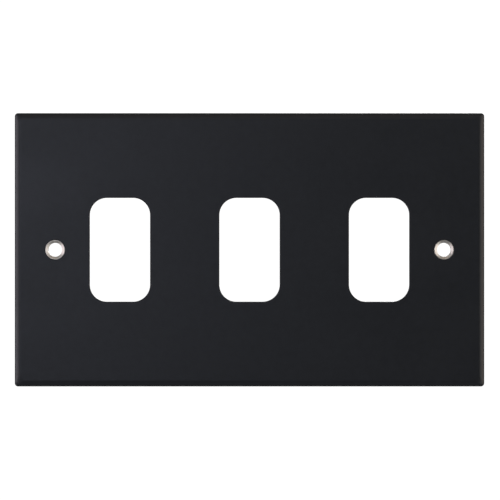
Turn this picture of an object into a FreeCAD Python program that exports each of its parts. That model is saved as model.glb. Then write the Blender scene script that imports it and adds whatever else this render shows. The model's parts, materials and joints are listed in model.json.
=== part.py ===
"""Front plate for a three-module wiring accessory, as an assembly of its real pieces.

Frame: +X to the right along the plate, +Z up, the front faces -Y.  The origin is on the
wall plane, midway between the two fixing screws.  Everything is in millimetres.

Pieces: a pressed steel face plate, a moulded liner behind it, two turned screw bushes,
the two push-on star washers that hold the bushes in the liner, and a foam wall gasket.
"""
import FreeCAD
import Part
import Sketcher
import math
import os

SIZES = {
    "plate_width": 146.0,
    "plate_height": 85.0,
    "plate_depth": 5.0,
    "sheet_thickness": 1.0,
    "rolled_radius": 2.2,
    "corner_radius": 1.0,
    "inner_corner_radius": 0.5,
    "aperture_width": 18.7,
    "aperture_height": 32.2,
    "aperture_radius": 5.3,
    "module_pitch": 40.2,
    "screw_pitch": 120.6,
    "nose_diameter": 6.0,
    "bore_diameter": 4.3,
    "bore_length": 1.0,
    "mouth_diameter": 5.7,
    "mouth_depth": 0.4,
    "relief_diameter": 5.2,
    "flange_diameter": 9.0,
    "flange_thickness": 0.8,
    "barrel_diameter": 6.0,
    "barrel_chamfer": 0.2,
    "liner_clearance": 0.1,
    "liner_floor": 1.0,
    "liner_setback": 0.3,
    "liner_chamfer": 1.2,
    "liner_corner": 1.0,
    "liner_wall": 1.0,
    "channel_width": 3.6,
    "inner_rib": 0.9,
    "inner_rib_depth": 1.6,
    "opening_margin": 0.4,
    "collar_wall": 1.0,
    "collar_height": 0.8,
    "boss_diameter": 10.5,
    "boss_depth": 1.6,
    "boss_bore": 6.1,
    "seat_diameter": 9.2,
    "stiffener_width": 0.8,
    "stiffener_height": 0.7,
    "stiffener_level": 26.0,
    "stiffener_span": 104.0,
    "boss_web_length": 12.9,
    "pin_mark_diameter": 4.0,
    "pin_mark_depth": 0.15,
    "pin_mark_level": 31.0,
    "washer_diameter": 10.0,
    "washer_inner": 7.6,
    "washer_thickness": 0.4,
    "prong_tip": 6.1,
    "prong_rise": 0.5,
    "prong_width": 1.5,
    "gasket_width": 3.5,
    "gasket_gap": 0.05,
    "gasket_thickness": 3.0,
    "gasket_corner": 0.9,
}
PRONGS = 6

doc = FreeCAD.newDocument("GridFrontPlate")
sheet = doc.addObject("Spreadsheet::Sheet", "Dimensions")
for row, (alias, number) in enumerate(SIZES.items(), start=1):
    sheet.set(f"A{row}", alias)
    sheet.set(f"B{row}", str(number))
    sheet.setAlias(f"B{row}", alias)
doc.recompute()


def total(*terms):
    """Return the value and the sheet expression of a sum of (factor, name) terms."""
    value = sum(factor * SIZES[name] for factor, name in terms)
    expression = " + ".join(f"({factor}) * Dimensions.{name}" for factor, name in terms)
    return value, expression


def new_body(label):
    """Start a piece as a body of its own."""
    body = doc.addObject("PartDesign::Body", label)
    body.Label = label
    body.Placement = FreeCAD.Placement()
    return body


def plane(body, role):
    """Return one of the body's own origin planes."""
    return next(item for item in body.Origin.OriginFeatures if item.Role == role)


def new_sketch(body, name, level=None, role="XZ_Plane"):
    """Attach a sketch to an origin plane; level is its distance in front of the plane."""
    sketch = body.newObject("Sketcher::SketchObject", name)
    sketch.AttachmentSupport = [(plane(body, role), "")]
    sketch.MapMode = "FlatFace"
    if level is not None:
        sketch.setExpression("AttachmentOffset.Base.z", level[1])
    return sketch


def bind(sketch, name, constraint, size):
    """Add a dimension to the sketch and drive it from the sheet."""
    index = sketch.addConstraint(constraint)
    sketch.renameConstraint(index, name)
    sketch.setExpression(f"Constraints.{name}", size[1])


def rectangle(sketch, tag, width, height, x=None, z=None):
    """Draw a rectangle about a centre that is given from the sketch origin."""
    centre_x = x[0] if x else 0.0
    centre_z = z[0] if z else 0.0
    half_w = width[0] / 2
    half_h = height[0] / 2
    corners = [(-half_w, -half_h), (half_w, -half_h), (half_w, half_h), (-half_w, half_h)]
    points = [FreeCAD.Vector(centre_x + a, centre_z + b, 0) for a, b in corners]
    first = sketch.GeometryCount
    for start, end in zip(points, points[1:] + points[:1]):
        sketch.addGeometry(Part.LineSegment(start, end), False)
    for side in range(4):
        following = first + (side + 1) % 4
        sketch.addConstraint(Sketcher.Constraint("Coincident", first + side, 2, following, 1))
        direction = "Vertical" if side % 2 else "Horizontal"
        sketch.addConstraint(Sketcher.Constraint(direction, first + side))
    across = Sketcher.Constraint("DistanceX", first, 1, first, 2, width[0])
    bind(sketch, f"{tag}_width", across, width)
    upright = Sketcher.Constraint("DistanceY", first + 1, 1, first + 1, 2, height[0])
    bind(sketch, f"{tag}_height", upright, height)
    centre(sketch, tag, (first, 1), (first + 2, 1), x, z)


def rounded_rectangle(sketch, tag, width, height, radius, x=None, z=None):
    """Draw a rectangle with round corners about a centre given from the sketch origin."""
    centre_x = x[0] if x else 0.0
    centre_z = z[0] if z else 0.0
    half_w = width[0] / 2
    half_h = height[0] / 2
    r = radius[0]
    sides = [
        ((-half_w + r, -half_h), (half_w - r, -half_h)),
        ((half_w, -half_h + r), (half_w, half_h - r)),
        ((half_w - r, half_h), (-half_w + r, half_h)),
        ((-half_w, half_h - r), (-half_w, -half_h + r)),
    ]
    arcs = [
        (half_w - r, -half_h + r),
        (half_w - r, half_h - r),
        (-half_w + r, half_h - r),
        (-half_w + r, -half_h + r),
    ]
    first = sketch.GeometryCount
    for (x0, z0), (x1, z1) in sides:
        start = FreeCAD.Vector(centre_x + x0, centre_z + z0, 0)
        end = FreeCAD.Vector(centre_x + x1, centre_z + z1, 0)
        sketch.addGeometry(Part.LineSegment(start, end), False)
    for quarter, (ax, az) in enumerate(arcs):
        middle = FreeCAD.Vector(centre_x + ax, centre_z + az, 0)
        whole = Part.Circle(middle, FreeCAD.Vector(0, 0, 1), r)
        start_angle = (quarter - 1) * math.pi / 2
        sketch.addGeometry(Part.ArcOfCircle(whole, start_angle, start_angle + math.pi / 2), False)
    for side in range(4):
        arc = first + 4 + side
        sketch.addConstraint(Sketcher.Constraint("Tangent", first + side, 2, arc, 1))
        sketch.addConstraint(Sketcher.Constraint("Tangent", arc, 2, first + (side + 1) % 4, 1))
        direction = "Vertical" if side % 2 else "Horizontal"
        sketch.addConstraint(Sketcher.Constraint(direction, first + side))
    for arc in range(3):
        sketch.addConstraint(Sketcher.Constraint("Equal", first + 4, first + 5 + arc))
    bind(sketch, f"{tag}_radius", Sketcher.Constraint("Radius", first + 4, r), radius)
    across = Sketcher.Constraint("DistanceX", first + 3, 1, first + 1, 1, width[0])
    bind(sketch, f"{tag}_width", across, width)
    upright = Sketcher.Constraint("DistanceY", first, 1, first + 2, 1, height[0])
    bind(sketch, f"{tag}_height", upright, height)
    centre(sketch, tag, (first + 4, 3), (first + 6, 3), x, z)


def centre(sketch, tag, one, other, x, z):
    """Hold two opposite corners evenly about the sketch origin or about a placed point."""
    if x is None and z is None:
        sketch.addConstraint(Sketcher.Constraint("Symmetric", *one, *other, -1, 1))
        return
    x = x or (0.0, "0")
    z = z or (0.0, "0")
    point = sketch.addGeometry(Part.Point(FreeCAD.Vector(x[0], z[0], 0)), True)
    bind(sketch, f"{tag}_x", Sketcher.Constraint("DistanceX", -1, 1, point, 1, x[0]), x)
    bind(sketch, f"{tag}_z", Sketcher.Constraint("DistanceY", -1, 1, point, 1, z[0]), z)
    sketch.addConstraint(Sketcher.Constraint("Symmetric", *one, *other, point, 1))


def circle(sketch, tag, diameter, x=None, z=None):
    """Draw a circle about a centre given from the sketch origin."""
    x = x or (0.0, "0")
    z = z or (0.0, "0")
    middle = FreeCAD.Vector(x[0], z[0], 0)
    whole = Part.Circle(middle, FreeCAD.Vector(0, 0, 1), diameter[0] / 2)
    index = sketch.addGeometry(whole, False)
    bind(sketch, f"{tag}_diameter", Sketcher.Constraint("Diameter", index, diameter[0]), diameter)
    bind(sketch, f"{tag}_x", Sketcher.Constraint("DistanceX", -1, 1, index, 3, x[0]), x)
    bind(sketch, f"{tag}_z", Sketcher.Constraint("DistanceY", -1, 1, index, 3, z[0]), z)


def outline(sketch, corners):
    """Draw a closed outline whose every corner is driven from the sheet."""
    points = [FreeCAD.Vector(x[0], y[0], 0) for x, y in corners]
    for start, end in zip(points, points[1:] + points[:1]):
        sketch.addGeometry(Part.LineSegment(start, end), False)
    for side, (x, y) in enumerate(corners):
        following = (side + 1) % len(corners)
        sketch.addConstraint(Sketcher.Constraint("Coincident", side, 2, following, 1))
        bind(sketch, f"corner{side}_x", Sketcher.Constraint("DistanceX", -1, 1, side, 1, x[0]), x)
        bind(sketch, f"corner{side}_y", Sketcher.Constraint("DistanceY", -1, 1, side, 1, y[0]), y)


def pad(body, name, sketch, length, midplane=False):
    """Grow a sketch forwards, or both ways, by a length from the sheet."""
    feature = body.newObject("PartDesign::Pad", name)
    feature.Profile = sketch
    feature.Midplane = midplane
    feature.setExpression("Length", length[1])
    doc.recompute()
    return feature


def pocket(body, name, sketch, length, forwards=False):
    """Cut a sketch out of the body, to the rear or forwards, and prove that it cut."""
    before = body.Shape.Volume
    feature = body.newObject("PartDesign::Pocket", name)
    feature.Profile = sketch
    feature.Reversed = forwards
    feature.setExpression("Length", length[1])
    doc.recompute()
    if not feature.Shape.Volume < before - 1e-3:
        raise RuntimeError(f"{name} cuts nothing")
    return feature


def edges_of(feature, test):
    """Return the names of the feature's edges that pass a test."""
    return [f"Edge{number}" for number, edge in enumerate(feature.Shape.Edges, start=1) if test(edge)]


def fillet(body, name, base, test, radius):
    """Round the edges that pass a test."""
    feature = body.newObject("PartDesign::Fillet", name)
    feature.Base = (base, edges_of(base, test))
    feature.setExpression("Radius", radius[1])
    doc.recompute()
    return feature


def chamfer(body, name, base, test, size):
    """Chamfer the edges that pass a test."""
    feature = body.newObject("PartDesign::Chamfer", name)
    feature.Base = (base, edges_of(base, test))
    feature.setExpression("Size", size[1])
    doc.recompute()
    return feature


def at_depth(depth):
    """Make a test for edges that lie in the plane this far in front of the wall."""
    return lambda edge: abs(edge.BoundBox.YMin + depth) < 1e-4 and abs(edge.BoundBox.YMax + depth) < 1e-4


def runs_deep(half_width):
    """Make a test for straight edges that run front to back at this distance from the centre."""

    def test(edge):
        box = edge.BoundBox
        thin = box.XLength < 1e-4 and box.ZLength < 1e-4
        return thin and box.YLength > 1e-3 and abs(abs(box.XMin) - half_width) < 1e-4

    return test


def mirror(body, name, originals, role="YZ_Plane"):
    """Repeat features on the other side of one of the body's origin planes."""
    feature = body.newObject("PartDesign::Mirrored", name)
    feature.Originals = originals
    feature.MirrorPlane = (plane(body, role), [""])
    body.Tip = feature
    doc.recompute()
    return feature


def repeat_along(body, name, originals, sketch, occurrences, length):
    """Repeat features along the horizontal axis of their sketch."""
    feature = body.newObject("PartDesign::LinearPattern", name)
    feature.Originals = originals
    feature.Direction = (sketch, ["H_Axis"])
    feature.Occurrences = occurrences
    feature.setExpression("Length", length[1])
    body.Tip = feature
    doc.recompute()
    return feature


def make_face_plate():
    """Press a shallow steel tray with a rolled front edge, three apertures and two holes."""
    body = new_body("face_plate")
    depth = total((1, "plate_depth"))
    half_screws = total((-0.5, "screw_pitch"))

    blank = new_sketch(body, "plate_outline")
    rectangle(blank, "plate", total((1, "plate_width")), total((1, "plate_height")))
    block = pad(body, "plate_block", blank, depth)
    rolled = fillet(body, "rolled_edge", block, at_depth(depth[0]), total((1, "rolled_radius")))
    corners = runs_deep(SIZES["plate_width"] / 2)
    fillet(body, "plan_corners", rolled, corners, total((1, "corner_radius")))

    inner_width = total((1, "plate_width"), (-2, "sheet_thickness"))
    inner_height = total((1, "plate_height"), (-2, "sheet_thickness"))
    inner_depth = total((1, "plate_depth"), (-1, "sheet_thickness"))
    hollow = new_sketch(body, "hollow_outline")
    rectangle(hollow, "hollow", inner_width, inner_height)
    tray = pocket(body, "rear_hollow", hollow, inner_depth, forwards=True)
    inner_radius = total((1, "rolled_radius"), (-1, "sheet_thickness"))
    soft = fillet(body, "inner_bend", tray, at_depth(inner_depth[0]), inner_radius)
    fillet(body, "inner_corners", soft, runs_deep(inner_width[0] / 2), total((1, "inner_corner_radius")))

    window = new_sketch(body, "aperture_outline", depth)
    size = (total((1, "aperture_width")), total((1, "aperture_height")), total((1, "aperture_radius")))
    rounded_rectangle(window, "aperture", *size, x=total((-1, "module_pitch")))
    first = pocket(body, "aperture", window, depth)
    repeat_along(body, "apertures", [first], window, 3, total((2, "module_pitch")))

    bore = new_sketch(body, "bush_hole_outline", depth)
    circle(bore, "bush_hole", total((1, "nose_diameter")), x=half_screws)
    hole = pocket(body, "bush_hole", bore, depth)
    mirror(body, "bush_holes", [hole])
    return body


def make_screw_bush(label, side):
    """Turn a flanged bush: a shallow cone leads to a short bore, relieved behind."""
    body = new_body(label)
    section = new_sketch(body, f"{label}_section", role="XY_Plane")
    front = total((-1, "plate_depth"))
    shoulder = total((-1, "plate_depth"), (1, "sheet_thickness"))
    flange_back = total((-1, "plate_depth"), (1, "sheet_thickness"), (1, "flange_thickness"))
    bore = total((0.5, "bore_diameter"))
    barrel = total((0.5, "barrel_diameter"))
    relief = total((0.5, "relief_diameter"))
    mouth_end = total((-1, "plate_depth"), (1, "mouth_depth"))
    bore_end = total((-1, "plate_depth"), (1, "mouth_depth"), (1, "bore_length"))
    wall = (0.0, "0")
    corners = [
        (relief, wall),
        (relief, bore_end),
        (bore, bore_end),
        (bore, mouth_end),
        (total((0.5, "mouth_diameter")), front),
        (total((0.5, "nose_diameter")), front),
        (total((0.5, "nose_diameter")), shoulder),
        (total((0.5, "flange_diameter")), shoulder),
        (total((0.5, "flange_diameter")), flange_back),
        (barrel, flange_back),
        (barrel, total((-1, "barrel_chamfer"))),
        (total((0.5, "barrel_diameter"), (-1, "barrel_chamfer")), wall),
    ]
    outline(section, corners)
    turned = body.newObject("PartDesign::Revolution", f"{label}_turned")
    turned.Profile = section
    turned.ReferenceAxis = (section, ["V_Axis"])
    turned.Angle = 360.0
    doc.recompute()
    body.setExpression("Placement.Base.x", total((0.5 * side, "screw_pitch"))[1])
    return body


def make_bush_retainer(label, side):
    """Stamp a star washer whose inner prongs spring against the barrel of the bush."""
    body = new_body(label)
    section = new_sketch(body, f"{label}_section", role="XY_Plane")
    seat = total((-1, "boss_depth"))
    top = total((-1, "boss_depth"), (1, "washer_thickness"))
    inner = total((0.5, "washer_inner"))
    outer = total((0.5, "washer_diameter"))
    outline(section, [(inner, seat), (outer, seat), (outer, top), (inner, top)])
    ring = body.newObject("PartDesign::Revolution", f"{label}_ring")
    ring.Profile = section
    ring.ReferenceAxis = (section, ["V_Axis"])
    ring.Angle = 360.0
    doc.recompute()

    tongue = new_sketch(body, f"{label}_prong_section", role="XY_Plane")
    root = total((0.5, "washer_inner"), (0.5, "washer_thickness"))
    tip = total((0.5, "prong_tip"))
    tip_low = total((-1, "boss_depth"), (1, "prong_rise"))
    tip_high = total((-1, "boss_depth"), (1, "prong_rise"), (1, "washer_thickness"))
    outline(tongue, [(root, seat), (root, top), (tip, tip_high), (tip, tip_low)])
    prong = pad(body, f"{label}_prong", tongue, total((1, "prong_width")), midplane=True)
    star = body.newObject("PartDesign::PolarPattern", f"{label}_star")
    star.Originals = [prong]
    star.Axis = (section, ["V_Axis"])
    star.Angle = 360.0
    star.Occurrences = PRONGS
    body.Tip = star
    doc.recompute()
    body.setExpression("Placement.Base.x", total((0.5 * side, "screw_pitch"))[1])
    return body


def liner_size(*terms):
    """Return the liner's outline, across and upright, reduced by the terms on each side."""
    inset = [(-2, "sheet_thickness"), (-2, "liner_clearance")]
    inset += [(-2 * factor, name) for factor, name in terms]
    return total((1, "plate_width"), *inset), total((1, "plate_height"), *inset)


def make_backing_liner():
    """Mould the insulating liner: floor, rim, gasket channel, collars, bosses and ribs."""
    body = new_body("backing_liner")
    setback = total((1, "liner_setback"))
    front = total((1, "plate_depth"), (-1, "sheet_thickness"))
    to_floor = [(1, "plate_depth"), (-1, "sheet_thickness"), (-1, "liner_floor")]
    floor = total(*to_floor)
    half_screws = total((-0.5, "screw_pitch"))
    pitch = total((-1, "module_pitch"))

    tray = new_sketch(body, "liner_outline", setback)
    rectangle(tray, "liner", *liner_size())
    block_depth = total((1, "plate_depth"), (-1, "sheet_thickness"), (-1, "liner_setback"))
    block = pad(body, "liner_block", tray, block_depth)
    eased = chamfer(body, "liner_front_edge", block, at_depth(front[0]), total((1, "liner_chamfer")))
    corners = runs_deep(liner_size()[0][0] / 2)
    fillet(body, "liner_corners", eased, corners, total((1, "liner_corner")))

    channel = new_sketch(body, "channel_outline", setback)
    rectangle(channel, "outer", *liner_size((1, "liner_wall")))
    rectangle(channel, "inner", *liner_size((1, "liner_wall"), (1, "channel_width")))
    channel_depth = total(*to_floor, (-1, "liner_setback"))
    pocket(body, "gasket_channel", channel, channel_depth, forwards=True)

    lower = new_sketch(body, "rib_height_outline", setback)
    rectangle(lower, "rib", *liner_size((1, "liner_wall"), (1, "channel_width")))
    rib_cut = total((1, "inner_rib_depth"), (-1, "liner_setback"))
    pocket(body, "rib_height", lower, rib_cut, forwards=True)

    well = new_sketch(body, "well_outline", total((1, "inner_rib_depth")))
    rectangle(well, "well", *liner_size((1, "liner_wall"), (1, "channel_width"), (1, "inner_rib")))
    well_depth = total(*to_floor, (-1, "inner_rib_depth"))
    pocket(body, "well", well, well_depth, forwards=True)

    collar_top = total(*to_floor, (-1, "collar_height"))
    collar_margin = [(2, "opening_margin"), (2, "collar_wall")]
    collar = new_sketch(body, "collar_outline", collar_top)
    collar_width = total((1, "aperture_width"), *collar_margin)
    collar_height = total((1, "aperture_height"), *collar_margin)
    collar_radius = total((1, "aperture_radius"), (1, "opening_margin"), (1, "collar_wall"))
    rounded_rectangle(collar, "collar", collar_width, collar_height, collar_radius, x=pitch)
    raised = pad(body, "collar", collar, total((1, "collar_height")))
    repeat_along(body, "collars", [raised], collar, 3, total((2, "module_pitch")))

    boss = new_sketch(body, "boss_outline", total((1, "boss_depth")))
    circle(boss, "boss", total((1, "boss_diameter")), x=half_screws)
    boss_height = total(*to_floor, (-1, "boss_depth"))
    post = pad(body, "boss", boss, boss_height)
    mirror(body, "bosses", [post])

    rib_top = total(*to_floor, (-1, "stiffener_height"))
    rib_height = total((1, "stiffener_height"))
    rib_width = total((1, "stiffener_width"))
    long_rib = new_sketch(body, "long_rib_outline", rib_top)
    span = total((1, "stiffener_span"))
    rectangle(long_rib, "long_rib", span, rib_width, z=total((1, "stiffener_level")))
    upper = pad(body, "long_rib", long_rib, rib_height)
    mirror(body, "long_ribs", [upper], "XY_Plane")
    cross_rib = new_sketch(body, "cross_rib_outline", rib_top)
    cross_span = total((2, "stiffener_level"))
    rectangle(cross_rib, "cross_rib", rib_width, cross_span, x=total((-0.5, "module_pitch")))
    inner_rib = pad(body, "cross_rib", cross_rib, rib_height)
    mirror(body, "cross_ribs", [inner_rib])
    end_rib = new_sketch(body, "end_rib_outline", rib_top)
    end_x = total((-0.5, "stiffener_span"), (0.5, "stiffener_width"))
    rectangle(end_rib, "end_rib", rib_width, cross_span, x=end_x)
    outer_rib = pad(body, "end_rib", end_rib, rib_height)
    mirror(body, "end_ribs", [outer_rib])
    web = new_sketch(body, "boss_web_outline", rib_top)
    rectangle(web, "boss_web", total((1, "boss_web_length")), rib_width, x=half_screws)
    brace = pad(body, "boss_web", web, rib_height)
    mirror(body, "boss_webs", [brace])

    opening = new_sketch(body, "opening_outline", front)
    opening_width = total((1, "aperture_width"), (2, "opening_margin"))
    opening_height = total((1, "aperture_height"), (2, "opening_margin"))
    opening_radius = total((1, "aperture_radius"), (1, "opening_margin"))
    rounded_rectangle(opening, "opening", opening_width, opening_height, opening_radius, x=pitch)
    cut = pocket(body, "opening", opening, front)
    repeat_along(body, "openings", [cut], opening, 3, total((2, "module_pitch")))

    bore = new_sketch(body, "boss_bore_outline", front)
    circle(bore, "boss_bore", total((1, "boss_bore")), x=half_screws)
    drilled = pocket(body, "boss_bore", bore, front)
    mirror(body, "boss_bores", [drilled])
    seat = new_sketch(body, "flange_seat_outline", front)
    circle(seat, "flange_seat", total((1, "seat_diameter")), x=half_screws)
    sunk = pocket(body, "flange_seat", seat, total((1, "flange_thickness")))
    mirror(body, "flange_seats", [sunk])

    mark = new_sketch(body, "pin_mark_outline", floor)
    level = total((1, "pin_mark_level"))
    circle(mark, "pin_mark", total((1, "pin_mark_diameter")), x=pitch, z=level)
    mark_depth = total((1, "pin_mark_depth"))
    dimple = pocket(body, "pin_mark", mark, mark_depth, forwards=True)
    lower_mark = new_sketch(body, "lower_pin_mark_outline", floor)
    lower_level = total((-1, "pin_mark_level"))
    circle(lower_mark, "lower_pin_mark", total((1, "pin_mark_diameter")), x=pitch, z=lower_level)
    lower_dimple = pocket(body, "lower_pin_mark", lower_mark, mark_depth, forwards=True)
    repeat_along(body, "pin_marks", [dimple, lower_dimple], mark, 3, total((2, "module_pitch")))
    return body


def make_wall_gasket():
    """Cut the foam gasket that lies in the liner's channel and seals against the wall."""
    body = new_body("wall_gasket")
    ring = new_sketch(body, "gasket_outline")
    outer = liner_size((1, "liner_wall"), (1, "gasket_gap"))
    inner = liner_size((1, "liner_wall"), (1, "gasket_gap"), (1, "gasket_width"))
    rounded_rectangle(ring, "outer", *outer, total((1, "gasket_corner")))
    rectangle(ring, "inner", *inner)
    pad(body, "gasket_strip", ring, total((1, "gasket_thickness")))
    return body


pieces = [
    make_face_plate(),
    make_backing_liner(),
    make_screw_bush("screw_bush_left", -1),
    make_screw_bush("screw_bush_right", 1),
    make_bush_retainer("bush_retainer_left", -1),
    make_bush_retainer("bush_retainer_right", 1),
    make_wall_gasket(),
]
doc.recompute()

for item in doc.Objects:
    if "Invalid" in item.State or "Error" in item.State:
        raise RuntimeError(f"{item.Name} failed: {item.State}")
for piece in pieces:
    if piece.Shape.isNull() or not piece.Shape.isValid() or len(piece.Shape.Solids) != 1:
        raise RuntimeError(f"{piece.Label} is not one valid solid")

os.makedirs("parts", exist_ok=True)
for piece in pieces:
    piece.Shape.exportStep(f"parts/{piece.Label}.step")
    box = piece.Shape.BoundBox
    lows = f"{box.XMin:.2f} {box.YMin:.2f} {box.ZMin:.2f}"
    highs = f"{box.XMax:.2f} {box.YMax:.2f} {box.ZMax:.2f}"
    print(f"{piece.Label}: {piece.Shape.Volume:.1f} mm3, {lows} to {highs}")
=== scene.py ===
"""Looks for the wall plate cover: a matt black pressed plate, its bushes, liner and gasket.

The pieces are drawn in millimetres and scaled to metres when they become meshes. The bump
heights and the studio are in metres.

A sweep carries a profile of (offset, depth) points round an outline: offset is measured
outwards from the outline in the plane of the plate, and depth along +Y, towards the wall.
"""

import json
import math

import bpy
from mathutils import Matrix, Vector, noise
from mathutils.geometry import normal as face_normal
from mathutils.geometry import tessellate_polygon


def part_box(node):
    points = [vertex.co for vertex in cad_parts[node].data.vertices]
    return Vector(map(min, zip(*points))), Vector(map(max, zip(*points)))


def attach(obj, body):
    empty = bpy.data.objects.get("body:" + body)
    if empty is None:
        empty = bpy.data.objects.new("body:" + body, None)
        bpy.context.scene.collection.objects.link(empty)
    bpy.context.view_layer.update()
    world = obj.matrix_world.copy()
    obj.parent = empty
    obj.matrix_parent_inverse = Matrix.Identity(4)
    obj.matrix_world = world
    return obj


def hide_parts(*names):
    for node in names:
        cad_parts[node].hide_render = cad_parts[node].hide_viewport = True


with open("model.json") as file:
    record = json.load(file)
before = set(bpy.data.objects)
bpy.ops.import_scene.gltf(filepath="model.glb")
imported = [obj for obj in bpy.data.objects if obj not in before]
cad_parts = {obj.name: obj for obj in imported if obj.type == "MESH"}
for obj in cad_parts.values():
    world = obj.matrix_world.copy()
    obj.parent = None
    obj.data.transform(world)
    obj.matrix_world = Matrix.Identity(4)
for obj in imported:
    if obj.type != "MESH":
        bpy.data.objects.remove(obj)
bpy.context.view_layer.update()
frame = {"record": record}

MM = 0.001
SMALLEST_RADIUS = 0.12
LONG_SIDE = 10.0
ARC_STEP = math.radians(9)
FRONT = Vector((0, -1, 0))
REAR = Vector((0, 1, 0))


# Mesh building

class Skin:
    """Gathers the faces of a piece, with an exact normal for every face corner."""

    def __init__(self):
        self.points = []
        self.faces = []
        self.normals = []

    def add_loop(self, points):
        """Store points and return their indices."""
        first = len(self.points)
        self.points.extend(points)
        return list(range(first, len(self.points)))

    def add_face(self, indices, normals):
        """Store a face, wound so that it faces the way its normals point."""
        facing = face_normal(*[self.points[index] for index in indices])
        if facing.dot(sum(normals, Vector())) < 0:
            indices = indices[::-1]
            normals = normals[::-1]
        self.faces.append(indices)
        self.normals.extend(normals)

    def sweep(self, outline, profile, closed=False, start=None):
        """Carry a profile round an outline, from an existing loop if one is given.

        Returns the first and last loops.
        """
        rows = []
        for offset, depth, out, back in profile:
            ring = outline(offset)
            if start and not rows:
                loop = start
            else:
                loop = self.add_loop([Vector((point[0], depth, point[1])) for point in ring])
            normals = []
            for _, _, dx, dz, flatness in ring:
                normals.append(Vector((out * dx, back * flatness, out * dz)))
            rows.append((loop, normals))
        following = rows[1:] + rows[:1] if closed else rows[1:]
        for (near, near_normals), (far, far_normals) in zip(rows, following):
            for a in range(len(near)):
                b = (a + 1) % len(near)
                corners = [near[a], near[b], far[b], far[a]]
                directions = [near_normals[a], near_normals[b], far_normals[b], far_normals[a]]
                self.add_face(corners, directions)
        return rows[0][0], rows[-1][0]

    def fill(self, outer, holes, normal):
        """Close the flat region between an outer loop and the loops of its holes."""
        loops = [outer] + holes
        flat = [[Vector((self.points[i].x, self.points[i].z, 0)) for i in loop] for loop in loops]
        joined = [index for loop in loops for index in loop]
        for triangle in tessellate_polygon(flat):
            self.add_face([joined[corner] for corner in triangle], [normal] * 3)

    def make(self, name, origin=(0, 0, 0)):
        """Turn the faces into a Blender object whose origin is given in millimetres.

        Without stored normals, the mesh is shaded smooth by its own shape.
        """
        origin = Vector(origin)
        mesh = bpy.data.meshes.new(name)
        mesh.from_pydata([(point - origin) * MM for point in self.points], [], self.faces)
        mesh.polygons.foreach_set("use_smooth", [True] * len(self.faces))
        if self.normals:
            mesh.normals_split_custom_set([direction.normalized() for direction in self.normals])
        mesh.update()
        piece = bpy.data.objects.new(name, mesh)
        piece.location = origin * MM
        bpy.context.scene.collection.objects.link(piece)
        return piece


def rounded_rectangle(width, height, radius, steps=8, centre=(0.0, 0.0), pieces=1, growth=1.0):
    """Return an outline function for a rectangle with round corners.

    The function gives (x, z, dx, dz, flatness) for each point: its place, its outward direction
    and a factor for the depth part of a profile's normal. Growth is how much the corner radius
    grows for each millimetre of offset: 1 keeps the corners parallel, and a negative growth
    widens them inwards, which flattens a rolled edge as it turns the corner.
    """

    def outline(offset):
        r = max(radius + growth * offset, SMALLEST_RADIUS)
        reach_x = width / 2 + offset - r
        reach_z = height / 2 + offset - r
        ring = []
        for quarter, (sx, sz) in enumerate([(1, 1), (-1, 1), (-1, -1), (1, -1)]):
            for step in range(steps + 1):
                angle = (quarter + step / steps) * math.pi / 2
                dx, dz = math.cos(angle), math.sin(angle)
                flatness = (1 - growth) * (abs(dx) + abs(dz)) + growth
                x = centre[0] + sx * reach_x + r * dx
                z = centre[1] + sz * reach_z + r * dz
                ring.append((x, z, dx, dz, flatness))
        return divide_sides(ring, pieces)

    return outline


def divide_sides(ring, pieces):
    """Split each long side of a ring into equal pieces."""
    if pieces == 1:
        return ring
    divided = []
    for here, after in zip(ring, ring[1:] + ring[:1]):
        divided.append(here)
        if math.hypot(after[0] - here[0], after[1] - here[1]) > LONG_SIDE:
            for step in range(1, pieces):
                share = step / pieces
                divided.append(tuple(a + (b - a) * share for a, b in zip(here, after)))
    return divided


def circle(radius, centre=(0.0, 0.0), count=72):
    """Return an outline function for a circle."""

    def outline(offset):
        ring = []
        for step in range(count):
            angle = 2 * math.pi * step / count
            dx, dz = math.cos(angle), math.sin(angle)
            x = centre[0] + (radius + offset) * dx
            z = centre[1] + (radius + offset) * dz
            ring.append((x, z, dx, dz, 1.0))
        return ring

    return outline


def rounded_path(corners, closed=False):
    """Round a path of (offset, depth, radius) corners; the surface faces its right-hand side."""
    path = []
    count = len(corners)
    for index, (x, y, radius) in enumerate(corners):
        here = Vector((x, y))
        before = Vector(corners[index - 1][:2])
        after = Vector(corners[(index + 1) % count][:2])
        at_start = not closed and index == 0
        at_end = not closed and index == count - 1
        arriving = (after - here if at_start else here - before).normalized()
        leaving = (here - before if at_end else after - here).normalized()
        if at_start or at_end:
            path.append((x, y, arriving.y, -arriving.x))
            continue
        cross = arriving.x * leaving.y - arriving.y * leaving.x
        turn = math.atan2(cross, arriving.dot(leaving))
        side = 1 if turn > 0 else -1
        start = here - arriving * (radius * math.tan(abs(turn) / 2))
        middle = start + Vector((-arriving.y, arriving.x)) * radius * side
        steps = max(2, math.ceil(abs(turn) / ARC_STEP))
        for step in range(steps + 1):
            angle = turn * step / steps
            dx = arriving.x * math.cos(angle) - arriving.y * math.sin(angle)
            dy = arriving.x * math.sin(angle) + arriving.y * math.cos(angle)
            path.append((middle.x + dy * radius * side, middle.y - dx * radius * side, dy, -dx))
    return path


# Sizes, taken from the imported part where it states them

plate_low, plate_high = (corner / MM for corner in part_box("face_plate"))
liner_low, liner_high = (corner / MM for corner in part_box("backing_liner"))
gasket_low, gasket_high = (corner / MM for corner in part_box("wall_gasket"))
washer_low, washer_high = (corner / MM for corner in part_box("bush_retainer_left"))
mounts = {mount["name"]: mount for mount in frame["record"]["mounts"]}

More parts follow.
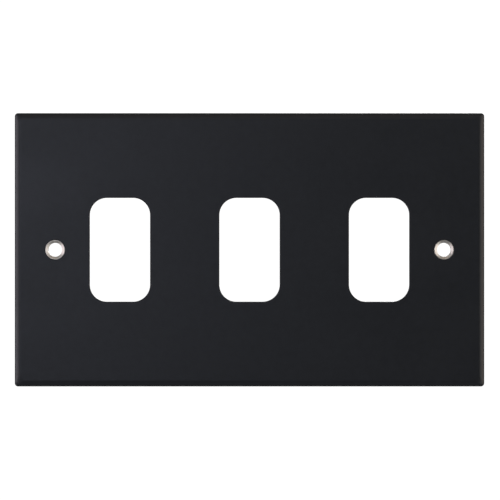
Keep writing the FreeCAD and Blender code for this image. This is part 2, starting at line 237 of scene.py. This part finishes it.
PLATE_W = plate_high.x - plate_low.x
PLATE_H = plate_high.z - plate_low.z
FACE_Y = plate_low.y
SHEET = 1.0
SHEET_BACK_Y = FACE_Y + SHEET
ROLLED_R = 2.2
CORNER_R = 1.0
EDGE_BAND = 4.0
APERTURE = (18.7, 32.2, 5.3)
PITCH = 40.2
CENTRES = [-PITCH, 0.0, PITCH]
SCREW_X = mounts["fixing_holes"]["dims"]["spacing_x_mm"] / 2
BORE_R = mounts["left_screw_bore"]["dims"]["r_mm"]
NOSE_R = 3.0
MOUTH_R = 2.85
MOUTH_DEPTH = 0.4
BORE_LENGTH = mounts["left_screw_bore"]["dims"]["length_mm"]
RELIEF_R = 2.6
FLANGE_R = 4.5
FLANGE_T = 0.8
BARREL_R = 3.0
TURNED_EDGE = 0.1
LINER_W = liner_high.x - liner_low.x
LINER_H = liner_high.z - liner_low.z
LINER_RIM_Y = liner_high.y
LINER_FLOOR_Y = SHEET_BACK_Y + 1.0
LINER_WALL = 1.0
LINER_CORNER_R = 1.0
LINER_CHAMFER = 1.2
MOULDED_EDGE = 0.2
DRAFT = 0.03
CHANNEL = 3.6
INNER_RIB = 0.9
RIB_TOP_Y = -1.6
OPENING_MARGIN = 0.4
COLLAR = 1.0
COLLAR_TOP_Y = LINER_FLOOR_Y + 0.8
BOSS_R = 5.25
BOSS_TOP_Y = -1.6
BOSS_BORE_R = 3.05
SEAT_R = 4.6
STIFFENER_TOP_Y = LINER_FLOOR_Y + 0.7
STIFFENER_W = 0.8
STIFFENER_LEVEL = 26.0
STIFFENER_SPAN = 104.0
WEB_LENGTH = 12.9
PIN_MARK_R = 2.0
PIN_MARK_DEPTH = 0.15
PIN_MARK_LEVEL = 31.0
PRONGS = 6


# Pieces

def make_plate():
    """The pressed plate: rolled front edge, return wall, apertures and bush holes."""
    skin = Skin()
    rolled_edge = rounded_rectangle(PLATE_W, PLATE_H, CORNER_R, steps=16, growth=-0.5)
    wall_edge = rounded_rectangle(PLATE_W, PLATE_H, CORNER_R, steps=16)
    front_roll = rounded_path([
        (-EDGE_BAND, FACE_Y, 0),
        (0.0, FACE_Y, ROLLED_R),
        (0.0, FACE_Y + 2 * ROLLED_R, 0),
    ])
    return_wall = rounded_path([
        (0.0, FACE_Y + ROLLED_R, 0),
        (0.0, 0.0, 0.18),
        (-SHEET, 0.0, 0.12),
        (-SHEET, SHEET_BACK_Y, ROLLED_R - SHEET),
        (-EDGE_BAND, SHEET_BACK_Y, 0),
    ])
    front, rim = skin.sweep(rolled_edge, front_roll[:-1])
    _, back = skin.sweep(wall_edge, return_wall, start=rim)
    front_holes, back_holes = [], []
    punched = rounded_path([
        (0.8, SHEET_BACK_Y, 0),
        (0.0, SHEET_BACK_Y, 0.1),
        (0.0, FACE_Y, 0.25),
        (0.8, FACE_Y, 0),
    ])
    for x in CENTRES:
        hole = rounded_rectangle(*APERTURE, steps=16, centre=(x, 0.0))
        rear_loop, front_loop = skin.sweep(hole, punched)
        back_holes.append(rear_loop)
        front_holes.append(front_loop)
    pierced = rounded_path([
        (0.5, SHEET_BACK_Y, 0),
        (0.0, SHEET_BACK_Y, 0.06),
        (0.0, FACE_Y, 0.3),
        (0.6, FACE_Y, 0),
    ])
    for side in (-1, 1):
        rear_loop, front_loop = skin.sweep(circle(NOSE_R, (side * SCREW_X, 0.0)), pierced)
        back_holes.append(rear_loop)
        front_holes.append(front_loop)
    skin.fill(front, front_holes, FRONT)
    skin.fill(back, back_holes, REAR)
    return skin.make("plate_shell")


def make_bush(name, side):
    """A turned bush: domed land, shallow cone, short bore, flange and relieved barrel."""
    skin = Skin()
    cone_y = FACE_Y + MOUTH_DEPTH
    bore_y = cone_y + BORE_LENGTH
    section = rounded_path([
        (BARREL_R, 0.0, 0.18),
        (RELIEF_R, 0.0, 0.05),
        (RELIEF_R, bore_y, 0.08),
        (BORE_R, bore_y, 0.08),
        (BORE_R, cone_y, TURNED_EDGE),
        (MOUTH_R, FACE_Y, 0.08),
        (NOSE_R, FACE_Y, 0.06),
        (NOSE_R, SHEET_BACK_Y, 0.03),
        (FLANGE_R, SHEET_BACK_Y, TURNED_EDGE),
        (FLANGE_R, SHEET_BACK_Y + FLANGE_T, TURNED_EDGE),
        (BARREL_R, SHEET_BACK_Y + FLANGE_T, 0.06),
    ], closed=True)
    skin.sweep(circle(0.0, (side * SCREW_X, 0.0), count=96), section, closed=True)
    return skin.make(name, origin=(side * SCREW_X, 0, 0))


def make_liner():
    """The moulded liner: floor, rim, gasket channel, collars, bosses, ribs and pin marks."""
    skin = Skin()
    rim = rounded_rectangle(LINER_W, LINER_H, LINER_CORNER_R, steps=6)
    rib_out = -(LINER_WALL + CHANNEL)
    rib_in = rib_out - INNER_RIB
    wall = rounded_path([
        (-3.0, SHEET_BACK_Y, 0),
        (-LINER_CHAMFER, SHEET_BACK_Y, MOULDED_EDGE),
        (0.0, SHEET_BACK_Y + LINER_CHAMFER, MOULDED_EDGE),
        (0.0, LINER_RIM_Y, MOULDED_EDGE),
        (-LINER_WALL, LINER_RIM_Y, MOULDED_EDGE),
        (-LINER_WALL - DRAFT, LINER_FLOOR_Y, MOULDED_EDGE),
        (rib_out + DRAFT, LINER_FLOOR_Y, MOULDED_EDGE),
        (rib_out, RIB_TOP_Y, MOULDED_EDGE),
        (rib_in, RIB_TOP_Y, MOULDED_EDGE),
        (rib_in - 0.02, LINER_FLOOR_Y, 0.15),
        (rib_in - 0.2, LINER_FLOOR_Y, 0),
    ])
    front, back = skin.sweep(rim, wall)
    front_holes, back_holes = [], []
    collar = rounded_path([
        (COLLAR + 0.4, LINER_FLOOR_Y, 0),
        (COLLAR, LINER_FLOOR_Y, MOULDED_EDGE),
        (COLLAR, COLLAR_TOP_Y, MOULDED_EDGE),
        (0.0, COLLAR_TOP_Y, MOULDED_EDGE),
        (0.0, SHEET_BACK_Y, 0.1),
        (0.5, SHEET_BACK_Y, 0),
    ])
    width, height, radius = APERTURE
    width += 2 * OPENING_MARGIN
    height += 2 * OPENING_MARGIN
    radius += OPENING_MARGIN
    for x in CENTRES:
        opening = rounded_rectangle(width, height, radius, steps=12, centre=(x, 0.0))
        rear_loop, front_loop = skin.sweep(opening, collar)
        back_holes.append(rear_loop)
        front_holes.append(front_loop)
    boss_wall = BOSS_R - BOSS_BORE_R
    seat = SEAT_R - BOSS_BORE_R
    boss = rounded_path([
        (boss_wall + 0.22, LINER_FLOOR_Y, 0),
        (boss_wall, LINER_FLOOR_Y, MOULDED_EDGE),
        (boss_wall, BOSS_TOP_Y, MOULDED_EDGE),
        (0.0, BOSS_TOP_Y, 0.12),
        (0.0, SHEET_BACK_Y + FLANGE_T, 0.05),
        (seat, SHEET_BACK_Y + FLANGE_T, 0.05),
        (seat, SHEET_BACK_Y, 0.05),
        (seat + 0.4, SHEET_BACK_Y, 0),
    ])
    for side in (-1, 1):
        rear_loop, front_loop = skin.sweep(circle(BOSS_BORE_R, (side * SCREW_X, 0.0)), boss)
        back_holes.append(rear_loop)
        front_holes.append(front_loop)
    mark = rounded_path([
        (0.25, LINER_FLOOR_Y, 0),
        (0.0, LINER_FLOOR_Y, 0.05),
        (-0.02, LINER_FLOOR_Y - PIN_MARK_DEPTH, 0.05),
        (-0.3, LINER_FLOOR_Y - PIN_MARK_DEPTH, 0),
    ])
    for x in CENTRES:
        for z in (-PIN_MARK_LEVEL, PIN_MARK_LEVEL):
            rim_loop, floor_loop = skin.sweep(circle(PIN_MARK_R, (x, z), count=48), mark)
            back_holes.append(rim_loop)
            skin.fill(floor_loop, [], REAR)
    skin.fill(front, front_holes, FRONT)
    skin.fill(back, back_holes, REAR)
    for rib in stiffener_layout():
        add_stiffener(skin, *rib)
    return skin.make("liner_moulding")


def stiffener_layout():
    """List the liner's low ribs as (centre x, centre z, width, height).

    Upright ribs end inside the level ones, and each boss's two webs start inside its wall.
    """
    ribs = []
    overlap = 0.1
    outer_trim = 0.15
    end_x = STIFFENER_SPAN / 2 - STIFFENER_W / 2
    for z in (-STIFFENER_LEVEL, STIFFENER_LEVEL):
        ribs.append((0.0, z, STIFFENER_SPAN, STIFFENER_W))
    for x in (-end_x, -PITCH / 2, PITCH / 2, end_x):
        ribs.append((x, 0.0, STIFFENER_W, 2 * STIFFENER_LEVEL - overlap))
    for side in (-1, 1):
        for outwards in (-1, 1):
            inner = BOSS_R - overlap
            outer = WEB_LENGTH / 2
            if outwards == side:
                outer -= outer_trim
            middle = side * SCREW_X + outwards * (inner + outer) / 2
            ribs.append((middle, 0.0, outer - inner, STIFFENER_W))
    return ribs


def add_stiffener(skin, x, z, width, height):
    """Add one rib with drafted sides, a rounded top and its foot sunk in the floor."""
    sunk = 0.25
    end_r = 0.14
    foot_y = LINER_FLOOR_Y - sunk
    outline = rounded_rectangle(width, height, end_r, steps=4, centre=(x, z))
    sides = rounded_path([
        (-0.1, foot_y, 0),
        (0.0, foot_y, 0.02),
        (-DRAFT, STIFFENER_TOP_Y, 0.16),
        (-0.25, STIFFENER_TOP_Y, 0),
    ])
    foot, top = skin.sweep(outline, sides)
    skin.fill(foot, [], FRONT)
    skin.fill(top, [], REAR)


def make_retainer(name, side):
    """A stamped star washer whose prongs climb inwards on to the barrel of the bush."""
    thickness = 0.4
    seat_y = washer_low.y
    rim_r = (washer_high.x - washer_low.x) / 2
    root_r = 3.9
    tip_r = 3.06
    gap_r = 3.78
    climb = washer_high.y - seat_y - thickness
    flank = 0.25
    count = 180
    bevel = 0.06
    rows = [(0.0, 0.0), (0.5, 0.0), (1.0, 0.0), (1.0, 0.5), (1.0, 1.0)]
    skin = Skin()

    def inner_radius(angle):
        """The washer's inner edge: at the prongs' tips or in the gaps between them."""
        wave = math.cos(PRONGS * angle)
        prong = min(1.0, max(0.0, (wave + flank) / (2 * flank)))
        smooth = prong * prong * (3 - 2 * prong)
        return gap_r + (tip_r - gap_r) * smooth

    def ring(across, inwards, top, inset=0.0, sink=0.0):
        """A loop that lies part way across the flat ring, then part way in along the prongs."""
        points = []
        for step in range(count):
            angle = 2 * math.pi * step / count
            radius = rim_r - inset + (root_r - rim_r + inset) * across
            radius += (inner_radius(angle) + inset - root_r) * inwards
            lift = climb * max(0.0, (root_r - radius) / (root_r - tip_r))
            x = side * SCREW_X + radius * math.cos(angle)
            y = seat_y + lift + (thickness - sink if top else sink)
            points.append(Vector((x, y, radius * math.sin(angle))))
        return points

    rim_row, tip_row = rows[0], rows[-1]
    loops = [skin.add_loop(ring(*rim_row, False, sink=bevel))]
    loops += [skin.add_loop(ring(*row, False, inset=bevel)) for row in rows]
    loops.append(skin.add_loop(ring(*tip_row, False, sink=bevel)))
    loops.append(skin.add_loop(ring(*tip_row, True, sink=bevel)))
    loops += [skin.add_loop(ring(*row, True, inset=bevel)) for row in reversed(rows)]
    loops.append(skin.add_loop(ring(*rim_row, True, sink=bevel)))
    for near, far in zip(loops, loops[1:] + loops[:1]):
        for a in range(count):
            b = (a + 1) % count
            skin.faces.append((near[a], near[b], far[b], far[a]))
    return skin.make(name, origin=(side * SCREW_X, 0, 0))


def make_gasket():
    """The foam strip: a soft ring whose faces sag and swell a little."""
    skin = Skin()
    width = gasket_high.x - gasket_low.x
    height = gasket_high.z - gasket_low.z
    headroom = 0.05
    top = gasket_high.y - headroom
    low = gasket_low.y
    strip = 3.5
    corner_r = 0.9
    foot_r, top_r = 0.15, 0.45
    mesh_step = 0.45
    sag, ripple, wave = 0.06, 0.05, 0.04
    outline = rounded_rectangle(width, height, corner_r, steps=6, pieces=110)
    section = rounded_path([
        (0.0, low, foot_r),
        (0.0, top, top_r),
        (-strip, top, top_r),
        (-strip, low, foot_r),
    ], closed=True)
    skin.sweep(outline, divide_path(section, mesh_step), closed=True)
    skin.normals.clear()
    piece = skin.make("gasket_strip")
    mesh = piece.data
    directions = [vertex.normal.copy() for vertex in mesh.vertices]
    for vertex, outwards in zip(mesh.vertices, directions):
        place = vertex.co / MM
        swell = noise.fractal(place * 0.9, 0.8, 2.0, 3) * ripple + noise.noise(place * 0.12) * wave
        vertex.co -= outwards * (sag + swell) * MM
    mesh.update()
    return piece


def divide_path(path, longest):
    """Add points along the straight runs of a closed profile."""
    divided = []
    for here, after in zip(path, path[1:] + path[:1]):
        divided.append(here)
        parts = math.ceil(math.hypot(after[0] - here[0], after[1] - here[1]) / longest)
        for step in range(1, parts):
            divided.append(tuple(a + (b - a) * step / parts for a, b in zip(here, after)))
    return divided


# Materials

NOISE_LOW = 0.3
NOISE_HIGH = 0.7


class Nodes:
    """A small helper that adds and joins the nodes of one material."""

    def __init__(self, name):
        self.material = bpy.data.materials.new(name)
        self.material.use_nodes = True
        self.tree = self.material.node_tree
        self.shader = self.tree.nodes["Principled BSDF"]

    def add(self, kind, **settings):
        """Add a node; settings name its properties or, by label, its inputs."""
        node = self.tree.nodes.new(kind)
        for key, value in settings.items():
            if hasattr(node, key):
                setattr(node, key, value)
            else:
                node.inputs[key.replace("_", " ")].default_value = value
        return node

    def link(self, source, output, target, socket):
        """Join an output to an input."""
        self.tree.links.new(source.outputs[output], target.inputs[socket])

    def place(self):
        """Return a node that gives positions in the piece's own frame."""
        return self.add("ShaderNodeTexCoord")

    def noise(self, place, scale, detail=2.0, roughness=0.5):
        """Add a noise texture in the piece's own frame."""
        texture = self.add("ShaderNodeTexNoise", Scale=scale, Detail=detail, Roughness=roughness)
        self.link(place, "Object", texture, "Vector")
        return texture

    def ramp(self, source, output, low, high, start=NOISE_LOW, end=NOISE_HIGH):
        """Map a texture to a range of colours."""
        ramp = self.add("ShaderNodeValToRGB")
        ramp.color_ramp.elements[0].position = start
        ramp.color_ramp.elements[1].position = end
        ramp.color_ramp.elements[0].color = low
        ramp.color_ramp.elements[1].color = high
        self.link(source, output, ramp, "Fac")
        return ramp

    def spread(self, source, output, low, high):
        """Map a texture to a range of numbers."""
        span = self.add("ShaderNodeMapRange")
        span.inputs["From Min"].default_value = NOISE_LOW
        span.inputs["From Max"].default_value = NOISE_HIGH
        span.inputs["To Min"].default_value = low
        span.inputs["To Max"].default_value = high
        self.link(source, output, span, "Value")
        return span

    def bump(self, source, output, height_m, strength, under=None):
        """Raise the surface by a texture, over an earlier bump if there is one."""
        bump = self.add("ShaderNodeBump", Distance=height_m, Strength=strength)
        self.link(source, output, bump, "Height")
        if under:
            self.link(under, "Normal", bump, "Normal")
        return bump


def grey(value):
    """Return a neutral colour."""
    return (value, value, value, 1.0)


def make_black_coat():
    """Matt black powder coat: fine orange peel, faint mottling and uneven sheen."""
    nodes = Nodes("matt_black_powder_coat")
    place = nodes.place()
    mottle = nodes.noise(place, 420, detail=4, roughness=0.6)
    dark = (0.0098, 0.0108, 0.0138, 1)
    light = (0.0136, 0.0150, 0.0188, 1)
    colour = nodes.ramp(mottle, "Fac", dark, light)
    nodes.link(colour, "Color", nodes.shader, "Base Color")
    cloud = nodes.noise(place, 60, detail=3)
    sheen = nodes.spread(cloud, "Fac", 0.40, 0.46)
    nodes.link(sheen, "Result", nodes.shader, "Roughness")
    peel = nodes.noise(place, 1500, detail=2)
    grain = nodes.noise(place, 5200, detail=1)
    coarse = nodes.bump(peel, "Fac", height_m=0.00002, strength=0.9)
    fine = nodes.bump(grain, "Fac", height_m=0.000006, strength=0.6, under=coarse)
    nodes.link(fine, "Normal", nodes.shader, "Normal")
    nodes.shader.inputs["Specular IOR Level"].default_value = 0.5
    return nodes.material


def make_nickel():
    """Bright nickel plate over turned brass, with the lathe's fine rings left in it."""
    nodes = Nodes("nickel_plated_brass")
    place = nodes.place()
    nodes.shader.inputs["Metallic"].default_value = 1.0
    stain = nodes.noise(place, 900, detail=3)
    colour = nodes.ramp(stain, "Fac", (0.85, 0.78, 0.71, 1), (0.94, 0.87, 0.79, 1))
    nodes.link(colour, "Color", nodes.shader, "Base Color")
    dull = nodes.noise(place, 1400, detail=2)
    rough = nodes.spread(dull, "Fac", 0.34, 0.42)
    nodes.link(rough, "Result", nodes.shader, "Roughness")
    rings = nodes.add("ShaderNodeTexWave", wave_type="RINGS", rings_direction="Y", Scale=3600.0)
    rings.inputs["Distortion"].default_value = 0.6
    nodes.link(place, "Object", rings, "Vector")
    turned = nodes.bump(rings, "Fac", height_m=0.000004, strength=0.35)
    nodes.link(turned, "Normal", nodes.shader, "Normal")
    return nodes.material


def make_liner_plastic():
    """Spark-eroded moulded plastic, dark grey, with faint flow marks."""
    nodes = Nodes("moulded_liner_plastic")
    place = nodes.place()
    flow = nodes.noise(place, 55, detail=5, roughness=0.65)
    flow.inputs["Distortion"].default_value = 1.2
    colour = nodes.ramp(flow, "Fac", grey(0.105), grey(0.135))
    nodes.link(colour, "Color", nodes.shader, "Base Color")
    sheen = nodes.spread(flow, "Fac", 0.42, 0.55)
    nodes.link(sheen, "Result", nodes.shader, "Roughness")
    spark = nodes.noise(place, 3600, detail=3)
    bump = nodes.bump(spark, "Fac", height_m=0.00003, strength=0.45)
    nodes.link(bump, "Normal", nodes.shader, "Normal")
    return nodes.material


def make_spring_steel():
    """Tempered strip: dull grey with a straw and blue tint and rolling marks."""
    nodes = Nodes("tempered_spring_steel")
    place = nodes.place()
    nodes.shader.inputs["Metallic"].default_value = 1.0
    temper = nodes.noise(place, 330, detail=4)
    colour = nodes.ramp(temper, "Fac", (0.36, 0.35, 0.36, 1), (0.50, 0.47, 0.42, 1))
    nodes.link(colour, "Color", nodes.shader, "Base Color")
    rough = nodes.spread(temper, "Fac", 0.30, 0.45)
    nodes.link(rough, "Result", nodes.shader, "Roughness")
    rolled = nodes.add("ShaderNodeTexWave", wave_type="BANDS", bands_direction="X", Scale=2400.0)
    rolled.inputs["Distortion"].default_value = 3.0
    nodes.link(place, "Object", rolled, "Vector")
    bump = nodes.bump(rolled, "Fac", height_m=0.000004, strength=0.4)
    nodes.link(bump, "Normal", nodes.shader, "Normal")
    return nodes.material


def make_foam():
    """Closed-cell foam: small open pores where the skin was cut, with painted shade darkening each
    pore towards its bottom.
    """
    nodes = Nodes("closed_cell_foam")
    place = nodes.place()
    cells = nodes.add("ShaderNodeTexVoronoi", Scale=3000.0)
    nodes.link(place, "Object", cells, "Vector")
    # Painted shade: the colour follows the same distance as the bump, so each pore is darker where
    # it sinks deepest.
    colour = nodes.ramp(cells, "Distance", grey(0.012), grey(0.035), start=0.1, end=0.6)
    nodes.link(colour, "Color", nodes.shader, "Base Color")
    nodes.shader.inputs["Roughness"].default_value = 0.9
    pores = nodes.bump(cells, "Distance", height_m=0.00012, strength=0.8)
    nodes.link(pores, "Normal", nodes.shader, "Normal")
    return nodes.material


def finish_piece(piece, material, node):
    """Give a piece its material and its body, and hide the imported part that it stands in for."""
    piece.data.materials.append(material)
    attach(piece, "root")
    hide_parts(node)


nickel = make_nickel()
spring = make_spring_steel()
finish_piece(make_plate(), make_black_coat(), "face_plate")
finish_piece(make_liner(), make_liner_plastic(), "backing_liner")
finish_piece(make_gasket(), make_foam(), "wall_gasket")
for side_name, sign in (("left", -1), ("right", 1)):
    bush = make_bush(f"bush_{side_name}", sign)
    finish_piece(bush, nickel, f"screw_bush_{side_name}")
    washer = make_retainer(f"star_washer_{side_name}", sign)
    finish_piece(washer, spring, f"bush_retainer_{side_name}")


# Studio

COOL = (0.97, 0.905, 1.0)
SKY = (0.775, 0.815, 1.0)
WARM = (1.0, 0.79, 0.66)
AMBER = (1.0, 0.78, 0.62)
SURROUND = (0.94, 1.0, 0.98, 1)


def make_floor():
    """A pale floor that curves up into a wall and a ceiling; it glows, but lights nothing."""
    nodes = Nodes("pale_floor")
    nodes.shader.inputs["Base Color"].default_value = grey(0.35)
    nodes.shader.inputs["Roughness"].default_value = 0.9
    nodes.shader.inputs["Specular IOR Level"].default_value = 0.1
    nodes.shader.inputs["Emission Color"].default_value = grey(1.0)
    nodes.shader.inputs["Emission Strength"].default_value = 1.0
    floor_z, top_z = -1.0, 3.0
    middle_r, wall_r, bend = 0.4, 3.0, 0.8
    count, bend_steps = 48, 12
    path = [(middle_r, floor_z), (wall_r - bend, floor_z)]
    for step in range(1, bend_steps + 1):
        angle = math.pi / 2 * step / bend_steps
        r = wall_r - bend + bend * math.sin(angle)
        z = floor_z + bend - bend * math.cos(angle)
        path.append((r, z))
    path.append((wall_r, top_z))
    turns = [2 * math.pi * step / count for step in range(count)]
    points = [(r * math.cos(turn), r * math.sin(turn), z) for r, z in path for turn in turns]
    faces = [tuple(range(count))]
    for row in range(len(path) - 1):
        for a in range(count):
            b = (a + 1) % count
            near, far = row * count, (row + 1) * count
            faces.append((near + a, near + b, far + b, far + a))
    faces.append(tuple(range(len(points) - count, len(points))))
    mesh = bpy.data.meshes.new("studio_floor")
    mesh.from_pydata(points, [], faces)
    mesh.shade_smooth()
    mesh.materials.append(nodes.material)
    floor = bpy.data.objects.new("studio_floor", mesh)
    bpy.context.scene.collection.objects.link(floor)
    floor.visible_diffuse = False
    floor.visible_glossy = False
    floor.visible_shadow = False


def make_light(name, place, size, power, colour=(1, 1, 1)):
    """A rectangular soft light that faces the part; size is its width and height."""
    lamp = bpy.data.lights.new(name, "AREA")
    lamp.shape = "RECTANGLE"
    lamp.size, lamp.size_y = size
    lamp.energy = power
    lamp.color = colour
    light = bpy.data.objects.new(name, lamp)
    light.location = place
    light.rotation_euler = (-light.location).to_track_quat("-Z", "Y").to_euler()
    light.visible_camera = False
    bpy.context.scene.collection.objects.link(light)


def make_world(colour, strength):
    """An even, nearly grey surround."""
    world = bpy.data.worlds.new("studio")
    world.use_nodes = True
    background = world.node_tree.nodes["Background"]
    background.inputs["Color"].default_value = colour
    background.inputs["Strength"].default_value = strength
    bpy.context.scene.world = world


def make_camera():
    """A long lens in front of the plate, a little off its middle."""
    distance = 714.0
    aside, above = 0.15, -0.06
    lens = bpy.data.cameras.new("camera")
    lens.lens = 165.8
    lens.sensor_width = 36.0
    lens.clip_start = 0.01
    lens.clip_end = 50
    camera = bpy.data.objects.new("camera", lens)
    camera.location = (aside * MM, (FACE_Y - distance) * MM, above * MM)
    camera.rotation_euler = (math.pi / 2, 0, 0)
    bpy.context.scene.collection.objects.link(camera)
    bpy.context.scene.camera = camera


make_floor()
make_world(SURROUND, 0.122)
make_light("softbox_left", (-1.0, 0.0, 0.1), (0.6, 1.2), 4.6, COOL)
make_light("strip_left", (-1.66, -1.12, -0.2), (1.0, 2.4), 6.8, COOL)
make_light("key_front_left", (-0.205, -0.564, 0.06), (0.2, 0.2), 0.345, SKY)
make_light("softbox_right", (1.0, 0.0, 0.1), (0.6, 1.8), 4.16, WARM)
make_light("strip_right", (1.74, -0.98, -0.1), (1.0, 3.6), 10.4)
make_light("softbox_top", (0.0, -0.15, 0.55), (0.5, 0.3), 0.175, AMBER)
make_light("fill_above", (-0.05, -0.6, 0.42), (0.4, 0.2), 0.2)
make_light("fill_below", (0.0, -0.15, -0.55), (0.5, 0.3), 0.065, SKY)
make_light("fill_behind", (0.3, 1.15, 0.35), (0.5, 0.5), 5.2)
make_camera()
bpy.context.scene.view_settings.view_transform = "Standard"
